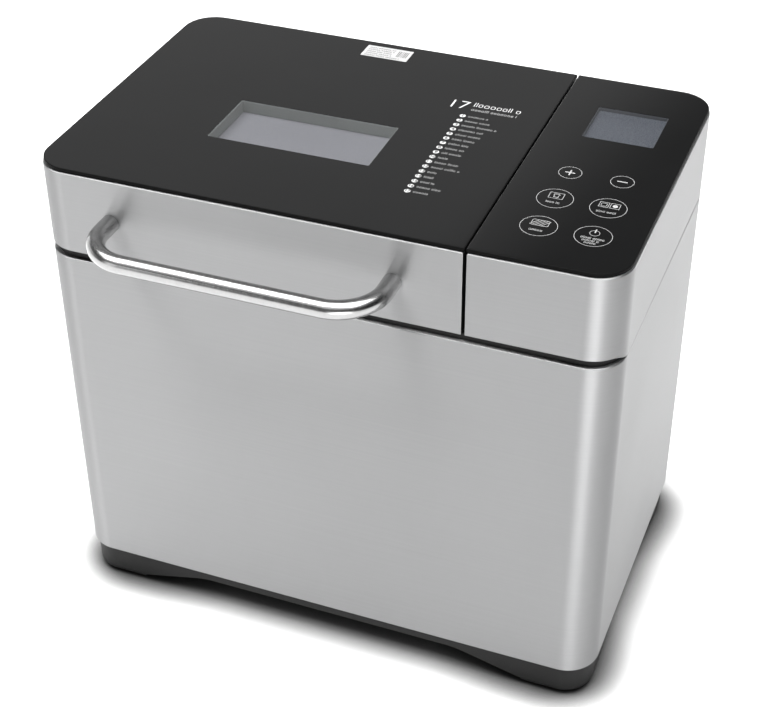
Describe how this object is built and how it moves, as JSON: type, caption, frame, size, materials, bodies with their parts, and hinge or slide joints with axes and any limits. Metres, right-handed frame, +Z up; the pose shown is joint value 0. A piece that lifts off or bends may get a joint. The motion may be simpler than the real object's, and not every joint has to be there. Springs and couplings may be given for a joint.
{
  "type": "bread machine",
  "caption": "Countertop bread machine: steel casing, hinged lid with window and bar handle, touch panel, lift-out pan with bail, kneading paddle and belt drive.",
  "frame": {"origin": "centre of the overall bounding box, on the surface that the four foot pads stand on", "axes": "+X to the user's right, along the body's width; -Y towards the user, where the handle is; +Z up"},
  "size_m": [0.37, 0.2783, 0.3306],
  "materials": {
    "steel": "horizontally brushed",
    "polished_steel": "polished stainless steel",
    "galvanised": "aluminised or galvanised sheet, dull",
    "black_plastic": "fine moulded texture",
    "grey_plastic": "fine moulded texture",
    "black_glass": "glossy, printed black from behind",
    "frosted_glass": "frosted",
    "rubber": "matt",
    "non_stick": "dark non-stick coating",
    "heater": "heat-darkened sheath",
    "bronze": "sintered bearing metal",
    "circuit": "circuit board",
    "display": "unlit liquid-crystal display",
    "white_plastic": "natural moulded plastic"
  },
  "bodies": {
    "casing": {"base_tray": "black_plastic", "foot_pad_front_left": "rubber", "foot_pad_front_right": "rubber", "foot_pad_back_left": "rubber", "foot_pad_back_right": "rubber", "body_shell": "steel", "cord_grommet": "black_plastic", "top_deck": "black_plastic", "hinge_bracket_left": "galvanised", "hinge_bracket_right": "galvanised", "panel_band": "steel", "panel_frame": "black_plastic", "panel_glass": "black_glass", "lcd_module": "display", "control_board": "circuit", "oven_liner": "galvanised", "temperature_sensor": "polished_steel", "heating_element": "heater", "pan_clip_front": "polished_steel", "pan_clip_back": "polished_steel", "pan_seat": "galvanised", "chassis_bridge": "galvanised", "bearing_housing": "galvanised", "shaft_bearing": "bronze", "drive_belt": "rubber", "motor_stator": "galvanised", "motor_end_lower": "galvanised", "motor_end_upper": "galvanised", "motor_bracket": "galvanised", "motor_capacitor": "white_plastic", "heat_shield": "galvanised", "power_board": "circuit"},
    "lid": {"lid_band": "steel", "lid_frame": "black_plastic", "lid_glass": "black_glass", "window_frame": "grey_plastic", "window_pane": "frosted_glass", "lid_liner": "galvanised", "hinge_pin_left": "polished_steel", "hinge_pin_right": "polished_steel", "handle": "polished_steel", "handle_screw_left": "polished_steel", "handle_screw_right": "polished_steel"},
    "pan": {"bread_pan": "non_stick", "pan_base_ring": "galvanised", "pan_bush": "bronze", "bail_bracket_left": "polished_steel", "bail_bracket_right": "polished_steel"},
    "bail": {"pan_bail": "polished_steel"},
    "spindle": {"pan_shaft": "polished_steel", "pan_coupler": "galvanised"},
    "paddle": {"kneading_paddle": "non_stick"},
    "drive": {"drive_shaft": "polished_steel", "drive_coupler": "galvanised", "large_pulley": "white_plastic"},
    "rotor": {"motor_rotor": "galvanised", "motor_pulley": "galvanised", "motor_fan": "white_plastic"}
  },
  "joints": [
    {"name": "lid_hinge", "type": "hinge", "parent": "casing", "child": "lid", "pos_m": [-0.046, 0.13103, 0.278], "axis": [-1, 0, 0], "range_deg": [0, 85]},
    {"name": "output_spin", "type": "hinge", "parent": "casing", "child": "drive", "pos_m": [-0.046, 0.02202, 0.037], "axis": [0, 0, 1], "continuous": true},
    {"name": "motor_spin", "type": "hinge", "parent": "casing", "child": "rotor", "pos_m": [0.137, 0.02202, 0.037], "axis": [0, 0, 1], "continuous": true},
    {"name": "pan_lift", "type": "slide", "parent": "casing", "child": "pan", "axis": [0, 0, 1], "range_m": [0, 0.05]},
    {"name": "bail_swing", "type": "hinge", "parent": "pan", "child": "bail", "pos_m": [-0.046, 0.02202, 0.233], "axis": [1, 0, 0], "range_deg": [0, 187.5]},
    {"name": "spindle_spin", "type": "hinge", "parent": "pan", "child": "spindle", "pos_m": [-0.046, 0.02202, 0.1], "axis": [0, 0, 1], "continuous": true},
    {"name": "paddle_pull", "type": "slide", "parent": "spindle", "child": "paddle", "axis": [0, 0, 1], "range_m": [0, 0.02]}
  ],
  "couplings": [
    {"joint": "motor_spin", "follows": "output_spin", "ratio": 5},
    {"joint": "spindle_spin", "follows": "output_spin", "ratio": 1}
  ]
}
